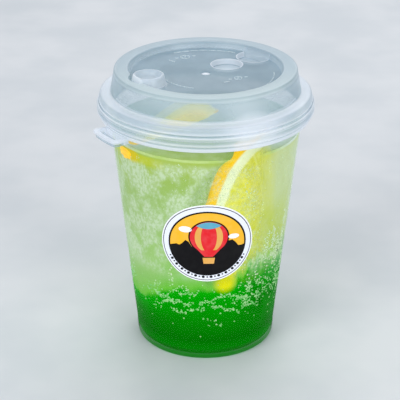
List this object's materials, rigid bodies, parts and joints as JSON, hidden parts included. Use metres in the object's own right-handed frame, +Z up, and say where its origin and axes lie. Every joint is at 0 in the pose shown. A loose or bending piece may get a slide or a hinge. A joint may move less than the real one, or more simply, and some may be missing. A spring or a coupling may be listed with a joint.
{
  "type": "cup of mojito lemonade",
  "caption": "Take-away cup of layered mojito lemonade: clear tapered cup, frosted snap lid, green syrup under pale lemonade, upright orange slices and a round label.",
  "frame": {"origin": "middle of the cup's foot, on the surface that the cup stands on", "axes": "+Z up the cup's axis, -Y towards the viewer who sees the label, +X to that viewer's right"},
  "size_m": [0.095, 0.095, 0.1297],
  "materials": {
    "cup": "clear gloss polypropylene",
    "lid": "frosted translucent polypropylene",
    "syrup": "wet, saturated green liquid",
    "lemonade": "wet, cloudy pale green liquid",
    "slice": "wet citrus flesh, pith and peel",
    "label": "printed film, satin"
  },
  "bodies": {
    "root": {"cup": "cup", "lid": "lid", "syrup": "syrup", "lemonade": "lemonade", "slice_right": "slice", "slice_left": "slice", "label": "label"}
  },
  "joints": []
}
